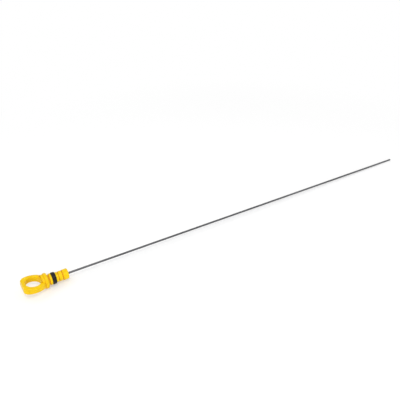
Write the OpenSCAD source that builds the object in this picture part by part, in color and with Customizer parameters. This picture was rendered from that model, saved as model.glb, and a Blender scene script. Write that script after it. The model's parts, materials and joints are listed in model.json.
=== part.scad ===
// Engine oil dipstick, lying as it rests on a flat surface.
// A moulded finger handle with its stop flange and ribbed stem, a rubber
// seal seated on the stem, and a straight steel wire with two level marks.
// The handle sits a little askew on the wire. The stick runs along +X. The
// origin is on the handle's axis, at the stop face of the flange, and the
// whole stick dips towards its tip by the angle at which the flange and the
// tip both touch the surface.

/* [Finger loop] */
// Length of the loop from its outer end to the stop flange
loop_l = 26.5; // [26:0.1:30]
// Outer width of the loop at its widest place
loop_w = 28; // [27:0.1:30]
// Distance from the stop flange back to the loop's widest place
loop_wide_l = 15; // [13.5:0.1:16.5]
// Height of the loop
loop_h = 8; // [5:0.1:9]
// Radius of the loop's bulging sides
side_r = 22; // [20:0.5:30]
// Radius, from the finger hole's middle, at which the outer corners are cut
corner_cut_r = 15.8; // [15:0.1:16.4]
// Width of the strap at the loop's widest place
strap_w = 4.7; // [4.3:0.1:5.5]
// Width of the bar at the loop's outer end
bar_w = 3.9; // [3.9:0.1:5]
// Radius along the loop's long edges
edge_r = 1.3; // [0.6:0.1:1.3]
// Angle by which the loop rises from the stem's axis
loop_tilt = 5.8; // [0:0.1:7]

/* [Stop flange] */
// Diameter of the stop flange
flange_d = 19.6; // [19.4:0.2:26]
// Thickness of the stop flange
flange_t = 4.3; // [3.6:0.1:6]
// Bevel on the flange's stop side
flange_bevel = 1.2; // [0.4:0.1:1.6]
// Radius on the flange's handle side
flange_edge_r = 0.6; // [0.2:0.1:0.6]
// Diameter of the round root that carries the loop
root_d = 18; // [17.6:0.1:18]
// Length of the root
root_l = 3; // [2:0.1:3.4]
// Radius on the root's outer edge
root_edge_r = 0.6; // [0.2:0.1:1]
// Diameter of the neck behind the stop face
neck_d = 12.6; // [12:0.1:13.4]
// Length of the neck
neck_l = 2.1; // [1:0.1:4]
// Diameter of the collar that backs the seal
collar_d = 14.6; // [13.6:0.1:14.8]
// Length of the collar
collar_l = 2.3; // [1.2:0.1:4]

/* [Seal] */
// Outer diameter of the rubber seal
seal_d = 15.2; // [15:0.1:17]
// Width of the seal along the stick
seal_w = 5.3; // [4:0.1:8]
// Radius on the seal's two outer edges
seal_edge_r = 1.3; // [0.6:0.1:1.6]
// Diameter of the seat under the seal
seat_d = 10.4; // [9:0.1:11]
// Radial clearance between the seal and its seat
seal_fit = 0.05; // [0.02:0.01:0.2]
// Clearance at each side of the seal in its seat
seal_play = 0.05; // [0.02:0.01:0.2]

/* [Stem] */
// Diameter of the ribbed part of the stem
stem_d = 12.7; // [11.6:0.1:13.2]
// Length of the ribbed part of the stem
ribbed_l = 8.8; // [7:0.1:14]
// Diameter of the plain end of the stem
guide_d = 13.4; // [12:0.1:14]
// Length of the plain end of the stem
guide_l = 6.8; // [4:0.1:14]
// Radius on the stem's end
guide_edge_r = 1.2; // [0.4:0.1:1.6]
// Number of grooves round the stem
groove_count = 2; // [1:1:3]
// Distance from the end of the seat to the middle of the first groove
groove_first = 3.1; // [1.5:0.1:3.4]
// Distance from one groove to the next
groove_pitch = 5.1; // [2:0.1:5.2]
// Width of a groove
groove_w = 1.1; // [0.6:0.1:1.6]
// Depth of a groove
groove_depth = 0.8; // [0.3:0.1:1]

/* [Gauge wire] */
// Diameter of the steel wire
wire_d = 2.6; // [2:0.1:4]
// Length from the stop face to the tip, along the wire
dip_l = 619; // [300:1:900]
// Length of the wire inside the handle
wire_seat_l = 20; // [10:0.5:24]
// Radial clearance of the wire in the handle
wire_fit = 0.02; // [0.01:0.01:0.1]
// Angle between the wire and the handle's axis, from the stem's end
wire_lean = 0.5; // [0:0.1:0.5]
// Chamfer on the wire's cut tip
tip_chamfer = 0.25; // [0.1:0.05:0.6]

/* [Level marks] */
// Number of level marks
mark_count = 2; // [1:1:3]
// Distance from the tip to the middle of the lowest mark
mark_first = 10.8; // [5:0.1:30]
// Distance from one mark to the next
mark_pitch = 43.3; // [10:0.1:60]
// Width of a mark along the wire
mark_w = 2.2; // [1:0.1:5]
// Depth to which a mark is cut into the wire
mark_depth = 1.1; // [0.3:0.05:1.2]
// Turn of the marks from straight down towards the near side
mark_turn = 35; // [0:5:90]

/* [Hidden] */
$fn = 72;
// Reach of a cutting solid past the surface that it cuts
over = 1;
// Overlap of the loop's plate and the rounded edge of its hole
lap = 0.4;
// How far the loop runs into the flange
loop_sink = 1;

// Places along the handle, from the stop face
flange_x = -flange_t;
root_x = flange_x - root_l;
loop_x = flange_x - loop_l;
wide_x = flange_x - loop_wide_l;
seat_x = neck_l + collar_l;
rib_x = seat_x + seal_w + 2 * seal_play;
guide_x = rib_x + ribbed_l;
stem_x = guide_x + guide_l;

// Finger hole
hole_r = loop_w / 2 - strap_w;
hole_x = loop_x + bar_w + hole_r;

// Distance of a bulging side's middle from the loop's
side_y = side_r - loop_w / 2;

// Length of the wire from the stem's end to the chamfer
run_l = dip_l - tip_chamfer - stem_x;

// Angle at which the handle rests with its flange and the wire's tip down
tip_x = stem_x + run_l * cos(wire_lean) + wire_d / 2 * sin(wire_lean);
tip_z = run_l * sin(wire_lean) - wire_d / 2 * cos(wire_lean);
rest_angle = atan2(tip_z + flange_d / 2, tip_x + flange_bevel);

// Puts a piece at the angle at which the stick rests
module at_rest() {
    rotate([0, rest_angle, 0]) children();
}

// Stands a shape that is turned about Z along the stick
module along_stick() {
    rotate([0, 90, 0]) children();
}

// Stands a shape that is turned about Z along the wire, from the stem's end
module along_wire() {
    translate([stem_x, 0, 0])
        rotate([0, 90 - wire_lean, 0])
            children();
}

// Section along an edge of the loop, from its inner place to its rounded side
module edge_section(inner, side) {
    translate([inner, -loop_h / 2])
        square([side - edge_r - inner, loop_h]);
    intersection() {
        translate([inner, -loop_h / 2])
            square([side - inner, loop_h]);
        union() {
            translate([inner, edge_r - loop_h / 2])
                square([side - inner, loop_h - 2 * edge_r]);
            for (y = [-1, 1])
                translate([side - edge_r, y * (loop_h / 2 - edge_r)])
                    circle(r = edge_r);
        }
    }
}

// Disc as high as the loop, with rounded edges
module rounded_disc(radius) {
    rotate_extrude()
        edge_section(0, radius);
}

// Straight outer end of the loop, running on into the flange
module end_block() {
    translate([loop_x, loop_w, 0])
        rotate([90, 0, 0])
            linear_extrude(2 * loop_w)
                mirror([1, 0])
                    edge_section(-loop_l - loop_sink, 0);
}

// Plate of the loop, without its hole
module loop_plate() {
    intersection() {
        translate([wide_x, side_y, 0]) rounded_disc(side_r);
        translate([wide_x, -side_y, 0]) rounded_disc(side_r);
        translate([hole_x, 0, 0]) rounded_disc(corner_cut_r);
        end_block();
    }
}

// Rounded edge round the finger hole
module hole_edge() {
    translate([hole_x, 0, 0])
        rotate_extrude()
            translate([hole_r, 0])
                mirror([1, 0])
                    edge_section(-edge_r - 2 * lap, 0);
}

// Finger loop, raised from the flange by its tilt
module finger_loop() {
    translate([flange_x, 0, 0])
        rotate([0, loop_tilt, 0])
            translate([-flange_x, 0, 0]) {
                difference() {
                    loop_plate();
                    translate([hole_x, 0, 0])
                        cylinder(r = hole_r + edge_r + lap, h = loop_h + 2 * over, center = true);
                }
                hole_edge();
            }
}

// Half section of the root, flange, neck, seal seat and stem, up the stick
module stem_profile() {
    difference() {
        union() {
            polygon([
                [0, root_x],
                [root_d / 2 - root_edge_r, root_x],
                [root_d / 2, root_x + root_edge_r],
                [root_d / 2, flange_x],
                [flange_d / 2 - flange_edge_r, flange_x],
                [flange_d / 2, flange_x + flange_edge_r],
                [flange_d / 2, -flange_bevel],
                [flange_d / 2 - flange_bevel, 0],
                [neck_d / 2, 0],
                [neck_d / 2, neck_l],
                [collar_d / 2, neck_l],
                [collar_d / 2, seat_x],
                [seat_d / 2, seat_x],
                [seat_d / 2, rib_x],
                [stem_d / 2, rib_x],
                [stem_d / 2, guide_x],
                [guide_d / 2, guide_x],
                [guide_d / 2, stem_x - guide_edge_r],
                [guide_d / 2 - guide_edge_r, stem_x],
                [0, stem_x]
            ]);
            translate([root_d / 2 - root_edge_r, root_x + root_edge_r])
                circle(r = root_edge_r);
            translate([flange_d / 2 - flange_edge_r, flange_x + flange_edge_r])
                circle(r = flange_edge_r);
            translate([guide_d / 2 - guide_edge_r, stem_x - guide_edge_r])
                circle(r = guide_edge_r);
        }
        for (i = [0 : groove_count - 1])
            translate([stem_d / 2 - groove_depth, rib_x + groove_first + i * groove_pitch - groove_w / 2])
                square([groove_depth + over, groove_w]);
    }
}

// One-piece moulded handle
module handle() {
    color("gold")
        at_rest()
            difference() {
                union() {
                    finger_loop();
                    along_stick()
                        rotate_extrude()
                            stem_profile();
                }
                along_wire()
                    translate([0, 0, -wire_seat_l])
                        cylinder(d = wire_d + 2 * wire_fit, h = wire_seat_l + over);
            }
}

// Rubber ring round the stem, with a flat crown and rounded edges
module seal() {
    inner = seat_d / 2 + seal_fit;
    wall = seal_d / 2 - inner;
    start = seat_x + seal_play;
    color("dimgray")
        at_rest()
            along_stick()
                rotate_extrude()
                    intersection() {
                        translate([inner, start])
                            square([wall, seal_w]);
                        union() {
                            translate([0, start])
                                square([seal_d / 2 - seal_edge_r, seal_w]);
                            translate([0, start + seal_edge_r])
                                square([seal_d / 2, seal_w - 2 * seal_edge_r]);
                            for (y = [seal_edge_r, seal_w - seal_edge_r])
                                translate([seal_d / 2 - seal_edge_r, start + y])
                                    circle(r = seal_edge_r);
                        }
                    }
}

// Straight wire with level marks cut into its under side
module gauge_wire() {
    color("lightslategray")
        at_rest()
            along_wire()
                difference() {
                    union() {
                        translate([0, 0, -wire_seat_l])
                            cylinder(d = wire_d, h = wire_seat_l + run_l);
                        translate([0, 0, run_l])
                            cylinder(d1 = wire_d, d2 = wire_d - 2 * tip_chamfer, h = tip_chamfer);
                    }
                    for (i = [0 : mark_count - 1])
                        rotate([0, 0, -mark_turn])
                            translate([
                                wire_d / 2 - mark_depth,
                                -wire_d,
                                run_l + tip_chamfer - mark_first - i * mark_pitch - mark_w / 2
                            ])
                                cube([mark_depth + over, 2 * wire_d, mark_w]);
                }
}

handle();
seal();
gauge_wire();
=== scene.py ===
import json
import math

import bpy
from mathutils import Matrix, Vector


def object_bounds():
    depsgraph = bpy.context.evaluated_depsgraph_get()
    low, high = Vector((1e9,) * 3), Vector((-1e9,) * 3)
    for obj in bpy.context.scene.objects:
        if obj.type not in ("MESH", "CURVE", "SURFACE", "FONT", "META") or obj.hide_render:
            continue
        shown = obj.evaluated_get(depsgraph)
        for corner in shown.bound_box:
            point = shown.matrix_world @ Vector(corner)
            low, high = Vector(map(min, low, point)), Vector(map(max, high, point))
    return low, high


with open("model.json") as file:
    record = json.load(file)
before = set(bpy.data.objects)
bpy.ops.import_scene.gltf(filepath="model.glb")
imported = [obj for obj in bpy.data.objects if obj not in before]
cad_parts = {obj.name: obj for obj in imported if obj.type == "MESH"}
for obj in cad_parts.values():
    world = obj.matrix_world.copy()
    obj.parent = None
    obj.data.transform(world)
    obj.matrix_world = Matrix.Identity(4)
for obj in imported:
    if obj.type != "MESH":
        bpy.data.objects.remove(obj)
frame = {"nodes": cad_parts, "record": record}
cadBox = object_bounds()
nodes = frame["nodes"]

mm = 0.001
floorHeight = cadBox[0].z       # the stop flange and the wire's tip touch the floor
stopFace = frame["record"]["mounts"][0]
handleDip = math.atan2(-stopFace["axis"][2], stopFace["axis"][0])   # slope of the handle's axis
wireLean = 0.5                  # degrees that the handle sits askew on the wire
wireDip = handleDip - math.radians(wireLean)


# Small helpers

def hexColour(text):
    # sRGB hex to the linear values that Blender's sockets take
    parts = [int(text[i:i + 2], 16) / 255 for i in (1, 3, 5)]
    linear = [p / 12.92 if p <= 0.04045 else ((p + 0.055) / 1.055) ** 2.4 for p in parts]
    return (*linear, 1)


def addNode(tree, kind, settings=None, links=None):
    # settings go to inputs or properties, and links join inputs to the outputs of other nodes
    # an input that shares its name with another is given by its number
    node = tree.nodes.new(kind)
    for name, value in (settings or {}).items():
        if isinstance(name, int) or name in node.inputs:
            node.inputs[name].default_value = value
        else:
            setattr(node, name, value)
    for name, source in (links or {}).items():
        tree.links.new(source, node.inputs[name])
    return node


def newMaterial(name):
    material = bpy.data.materials.new(name)
    material.use_nodes = True
    material.node_tree.nodes.clear()
    return material, material.node_tree


def setRamp(ramp, span, colours):
    # the first colour up to the start of the span, the second from its end
    for element, position, colour in zip(ramp.color_ramp.elements, span, colours):
        element.position = position
        element.color = hexColour(colour)


def levelCoordinates(tree, dip, scale=(1, 1, 1)):
    # object coordinates turned back by the piece's slope, so that X runs along its axis
    where = addNode(tree, "ShaderNodeTexCoord")
    return addNode(tree, "ShaderNodeMapping",
                   {"Rotation": (0, -dip, 0), "Scale": scale},
                   {"Vector": where.outputs["Object"]}).outputs["Vector"]


def dress(nodeName, material):
    for slot in nodes[nodeName].material_slots:
        slot.material = material


# Camera

cameraValues = {
    "place": (-0.085128, -0.489345, 0.413342),
    "heading": 31.918,      # degrees that the view turns from +Y towards +X
    "pitch": 32.8,          # degrees below the horizon
    "lens": 44.91,
    "sensor": 36,           # mm across
    "nearest": 0.01,        # metres
    "farthest": 50,
}


def addCamera():
    bpy.ops.object.camera_add(location=cameraValues["place"])
    camera = bpy.context.object
    camera.name = "camera"
    camera.rotation_euler = (math.radians(90 - cameraValues["pitch"]), 0,
                             -math.radians(cameraValues["heading"]))
    camera.data.sensor_width = cameraValues["sensor"]
    camera.data.lens = cameraValues["lens"]
    camera.data.clip_start = cameraValues["nearest"]
    camera.data.clip_end = cameraValues["farthest"]
    bpy.context.scene.camera = camera


addCamera()
print("camera ready")


# Floor and light

studioValues = {
    "floorSize": 14,
    "floorColour": "#F9F9F9",
    "shadowLift": 0.36,     # share of plain white that the eye sees in the floor near the stick
    "fadeStart": 0.35,      # metres from the stick's middle where the floor starts to fade to white
    "fadeEnd": 0.62,        # and where it is all white
    "stickMiddle": 0.3,     # metres from the stop face
    "skyColour": "#FFFFFF",
    "skyStrength": 0.72,
    # place, aim, size in metres and watts of each soft box
    "lamps": {
        "back_light": ((-0.55, 0.95, 1.45), (0.15, 0.05, 0), 1.3, 4.5),
        "front_light": ((-0.1, -0.8, 1.5), (0.2, 0, 0), 0.7, 8.5),
        "side_light": ((1.5, -0.35, 1.1), (0.25, 0, 0), 1.1, 2),
        "low_light": ((-0.75, -1.35, 0.5), (0.1, 0, 0), 1.2, 6),
    },
}
plainWhite = (1, 1, 1, 1)


def addFloor():
    bpy.ops.mesh.primitive_plane_add(size=studioValues["floorSize"], location=(0, 0, floorHeight))
    floor = bpy.context.object
    floor.name = "floor"
    material, tree = newMaterial("white_studio_table")
    table = addNode(tree, "ShaderNodeBsdfDiffuse",
                    {"Color": hexColour(studioValues["floorColour"])})
    white = addNode(tree, "ShaderNodeEmission", {"Color": plainWhite, "Strength": 1})
    where = addNode(tree, "ShaderNodeTexCoord")
    reach = addNode(tree, "ShaderNodeVectorMath",
                    {"operation": "DISTANCE", 1: (studioValues["stickMiddle"], 0, 0)},
                    {0: where.outputs["Object"]})
    fade = addNode(tree, "ShaderNodeMapRange",
                   {"interpolation_type": "SMOOTHSTEP",
                    "From Min": studioValues["fadeStart"], "From Max": studioValues["fadeEnd"],
                    "To Min": studioValues["shadowLift"], "To Max": 1},
                   {"Value": reach.outputs["Value"]})
    # the eye, reflections and glass see the white, while the table itself still takes the light
    ray = addNode(tree, "ShaderNodeLightPath")
    direct = addNode(tree, "ShaderNodeMath", {"operation": "MAXIMUM"},
                     {0: ray.outputs["Is Camera Ray"], 1: ray.outputs["Is Glossy Ray"]})
    seen = addNode(tree, "ShaderNodeMath", {"operation": "MAXIMUM"},
                   {0: direct.outputs[0], 1: ray.outputs["Is Transmission Ray"]})
    share = addNode(tree, "ShaderNodeMath", {"operation": "MULTIPLY"},
                    {0: seen.outputs[0], 1: fade.outputs["Result"]})
    both = addNode(tree, "ShaderNodeMixShader", None,
                   {0: share.outputs[0], 1: table.outputs[0], 2: white.outputs[0]})
    addNode(tree, "ShaderNodeOutputMaterial", None, {"Surface": both.outputs[0]})
    floor.data.materials.append(material)


def addLamps():
    for name, (place, aim, size, power) in studioValues["lamps"].items():
        bpy.ops.object.light_add(type="AREA", location=place)
        lamp = bpy.context.object
        lamp.name = name
        lamp.data.shape = "DISK"
        lamp.data.size = size
        lamp.data.energy = power
        lamp.rotation_euler = (Vector(aim) - Vector(place)).to_track_quat("-Z", "Y").to_euler()


def setSky():
    world = bpy.data.worlds.new("studio_sky")
    bpy.context.scene.world = world
    world.use_nodes = True
    tree = world.node_tree
    tree.nodes.clear()
    light = addNode(tree, "ShaderNodeBackground",
                    {"Color": hexColour(studioValues["skyColour"]),
                     "Strength": studioValues["skyStrength"]})
    backdrop = addNode(tree, "ShaderNodeBackground", {"Color": plainWhite, "Strength": 1})
    ray = addNode(tree, "ShaderNodeLightPath")
    pick = addNode(tree, "ShaderNodeMixShader", None,
                   {0: ray.outputs["Is Camera Ray"], 1: light.outputs[0], 2: backdrop.outputs[0]})
    addNode(tree, "ShaderNodeOutputWorld", None, {"Surface": pick.outputs[0]})


addFloor()
addLamps()
setSky()
bpy.context.scene.view_settings.view_transform = "Standard"
print("floor and light ready")


# Handle

handleValues = {
    "deep": "#E4B900",
    "bright": "#EFCA04",
    "tintSpan": (0.3, 0.7),
    "flow": 9,                  # mm across a cloud of pigment
    "paintedShade": "#DC9600",        # painted shade, a deeper orange put in grooves and inner corners
    "paintedShadeReach": 3.0,         # mm from a wall to where the painted shade ends
    "paintedShadeSpan": (0.5, 0.96),  # all painted shade where less is open, none where more is
    "paintedShadeRays": 32,           # sent out from each spot to find the walls near it
    "roughness": (0.31, 0.43),
    "grain": 0.35,              # mm from dimple to dimple of the moulded skin, drawn coarser than real
    "grainDepth": 0.04,         # mm
    "seam": 0.12,               # mm half width of the line where the mould closed
    "seamDepth": 0.1,           # mm
    "flange": 4.3,              # mm from the stop face back to the loop
    "loopTilt": 5.8,            # degrees that the loop rises from the handle's axis
    "soak": 0.1,                # share of the light that soaks in
    "soakReach": 1.0,           # mm
    "soakColour": (1.0, 0.55, 0.1),
}


def mouldedNylon():
    # Nylon, injection moulded and dyed through: a warm, saturated yellow with a satin gloss, and light
    # that soaks in a little and comes back orange.
    # In grooves and inner corners a deeper orange is painted in as shade.
    material, tree = newMaterial("moulded_yellow_nylon")
    level = levelCoordinates(tree, handleDip)
    clouds = addNode(tree, "ShaderNodeTexNoise",
                     {"Scale": 1 / (handleValues["flow"] * mm), "Detail": 3, "Roughness": 0.55},
                     {"Vector": level})
    tint = addNode(tree, "ShaderNodeValToRGB", None, {"Fac": clouds.outputs["Fac"]})
    setRamp(tint, handleValues["tintSpan"], (handleValues["deep"], handleValues["bright"]))

    # painted shade: the yellow turns a deeper orange where walls face each other and block the light
    nook = addNode(tree, "ShaderNodeAmbientOcclusion",
                   {"samples": handleValues["paintedShadeRays"], "only_local": True,
                    "Distance": handleValues["paintedShadeReach"] * mm})
    openness = addNode(tree, "ShaderNodeMapRange",
                       {"From Min": handleValues["paintedShadeSpan"][0],
                        "From Max": handleValues["paintedShadeSpan"][1]},
                       {"Value": nook.outputs["AO"]})
    # painted shade: the deeper orange is mixed into the yellow where walls stand near
    tintWithPaintedShade = addNode(tree, "ShaderNodeMix",
                   {"data_type": "RGBA", 6: hexColour(handleValues["paintedShade"])},
                   {0: openness.outputs["Result"], 7: tint.outputs["Color"]})

    skin = addNode(tree, "ShaderNodeTexNoise",
                   {"Scale": 1 / (handleValues["grain"] * mm), "Detail": 2, "Roughness": 0.6},
                   {"Vector": level})
    gloss = addNode(tree, "ShaderNodeMapRange",
                    {"To Min": handleValues["roughness"][0], "To Max": handleValues["roughness"][1]},
                    {"Value": skin.outputs["Fac"]})

    # the mould's closing line runs round the handle at mid height, and rises with the loop
    axes = addNode(tree, "ShaderNodeSeparateXYZ", None, {"Vector": level})
    behind = addNode(tree, "ShaderNodeMath",
                     {"operation": "SUBTRACT", 0: -handleValues["flange"] * mm},
                     {1: axes.outputs["X"]})
    onLoop = addNode(tree, "ShaderNodeMath", {"operation": "MAXIMUM", 1: 0},
                     {0: behind.outputs[0]})
    rise = addNode(tree, "ShaderNodeMath",
                   {"operation": "MULTIPLY", 1: math.tan(math.radians(handleValues["loopTilt"]))},
                   {0: onLoop.outputs[0]})
    offset = addNode(tree, "ShaderNodeMath", {"operation": "SUBTRACT"},
                     {0: axes.outputs["Z"], 1: rise.outputs[0]})
    height = addNode(tree, "ShaderNodeMath", {"operation": "ABSOLUTE"}, {0: offset.outputs[0]})
    line = addNode(tree, "ShaderNodeMapRange",
                   {"interpolation_type": "SMOOTHSTEP",
                    "From Min": 0, "From Max": handleValues["seam"] * mm,
                    "To Min": 1, "To Max": 0},
                   {"Value": height.outputs[0]})
    seamBump = addNode(tree, "ShaderNodeBump",
                       {"Strength": 0.5, "Distance": handleValues["seamDepth"] * mm},
                       {"Height": line.outputs["Result"]})
    bump = addNode(tree, "ShaderNodeBump",
                   {"Strength": 0.25, "Distance": handleValues["grainDepth"] * mm},
                   {"Height": skin.outputs["Fac"], "Normal": seamBump.outputs["Normal"]})

    shader = addNode(tree, "ShaderNodeBsdfPrincipled",
                     {"IOR": 1.53, "Specular IOR Level": 0.18,
                      "Subsurface Weight": handleValues["soak"],
                      "Subsurface Radius": handleValues["soakColour"],
                      "Subsurface Scale": handleValues["soakReach"] * mm},
                     {"Base Color": tintWithPaintedShade.outputs[2], "Roughness": gloss.outputs["Result"],
                      "Normal": bump.outputs["Normal"]})
    addNode(tree, "ShaderNodeOutputMaterial", None, {"Surface": shader.outputs[0]})
    return material


dress("handle", mouldedNylon())
print("handle dressed")


# Seal

sealValues = {
    "dark": "#0E0C0F",
    "worn": "#1C1A1E",
    "tintSpan": (0.35, 0.75),
    "roughness": (0.34, 0.52),
    "grain": 0.5,               # mm, drawn coarser than the rubber's real skin
    "grainDepth": 0.05,         # mm
}


def nitrileRubber():
    # Nitrile rubber, compression moulded: near black with a cool, oily sheen on its crown.
    material, tree = newMaterial("nitrile_rubber")
    skin = addNode(tree, "ShaderNodeTexNoise",
                   {"Scale": 1 / (sealValues["grain"] * mm), "Detail": 3, "Roughness": 0.6},
                   {"Vector": levelCoordinates(tree, handleDip)})
    tint = addNode(tree, "ShaderNodeValToRGB", None, {"Fac": skin.outputs["Fac"]})
    setRamp(tint, sealValues["tintSpan"], (sealValues["dark"], sealValues["worn"]))
    gloss = addNode(tree, "ShaderNodeMapRange",
                    {"To Min": sealValues["roughness"][0], "To Max": sealValues["roughness"][1]},
                    {"Value": skin.outputs["Fac"]})
    bump = addNode(tree, "ShaderNodeBump",
                   {"Strength": 0.3, "Distance": sealValues["grainDepth"] * mm},
                   {"Height": skin.outputs["Fac"]})
    shader = addNode(tree, "ShaderNodeBsdfPrincipled",
                     {"IOR": 1.52, "Specular IOR Level": 0.25},
                     {"Base Color": tint.outputs["Color"], "Roughness": gloss.outputs["Result"],
                      "Normal": bump.outputs["Normal"]})
    addNode(tree, "ShaderNodeOutputMaterial", None, {"Surface": shader.outputs[0]})
    return material


dress("seal", nitrileRubber())
print("seal dressed")


# Gauge wire

wireValues = {
    "dark": "#4C4C4F",
    "light": "#78787A",
    "tintSpan": (0.3, 0.7),
    "tone": 90,                 # mm along the wire from a darker stretch to a lighter one
    "toneShare": 0.4,           # of the tint, which otherwise follows the drawing lines
    "roughness": (0.26, 0.48),
    "lineWidth": 0.35,          # mm across a drawing line, drawn coarser than real
    "lineLength": 45,           # mm along a drawing line
    "lineDepth": 0.03,          # mm
}


def drawnSteel():
    # Spring steel wire, cold drawn and bare: mid grey with fine lines along its length and soft gloss.
    material, tree = newMaterial("drawn_spring_steel")
    stretch = wireValues["lineWidth"] / wireValues["lineLength"]
    lines = addNode(tree, "ShaderNodeTexNoise",
                    {"Scale": 1 / (wireValues["lineWidth"] * mm), "Detail": 3, "Roughness": 0.65},
                    {"Vector": levelCoordinates(tree, wireDip, (stretch, 1, 1))})
    along = addNode(tree, "ShaderNodeSeparateXYZ", None,
                    {"Vector": levelCoordinates(tree, wireDip)})
    stretches = addNode(tree, "ShaderNodeTexNoise",
                        {"noise_dimensions": "1D", "Scale": 1 / (wireValues["tone"] * mm),
                         "Detail": 1},
                        {"W": along.outputs["X"]})
    tonePart = addNode(tree, "ShaderNodeMath",
                       {"operation": "MULTIPLY", 1: wireValues["toneShare"]},
                       {0: stretches.outputs["Fac"]})
    blend = addNode(tree, "ShaderNodeMath",
                    {"operation": "MULTIPLY_ADD", 1: 1 - wireValues["toneShare"]},
                    {0: lines.outputs["Fac"], 2: tonePart.outputs[0]})
    tint = addNode(tree, "ShaderNodeValToRGB", None, {"Fac": blend.outputs[0]})
    setRamp(tint, wireValues["tintSpan"], (wireValues["dark"], wireValues["light"]))
    gloss = addNode(tree, "ShaderNodeMapRange",
                    {"To Min": wireValues["roughness"][0], "To Max": wireValues["roughness"][1]},
                    {"Value": lines.outputs["Fac"]})
    bump = addNode(tree, "ShaderNodeBump",
                   {"Strength": 0.3, "Distance": wireValues["lineDepth"] * mm},
                   {"Height": lines.outputs["Fac"]})
    shader = addNode(tree, "ShaderNodeBsdfPrincipled", {"Metallic": 1},
                     {"Base Color": tint.outputs["Color"], "Roughness": gloss.outputs["Result"],
                      "Normal": bump.outputs["Normal"]})
    addNode(tree, "ShaderNodeOutputMaterial", None, {"Surface": shader.outputs[0]})
    return material


dress("gauge_wire", drawnSteel())
print("wire dressed")
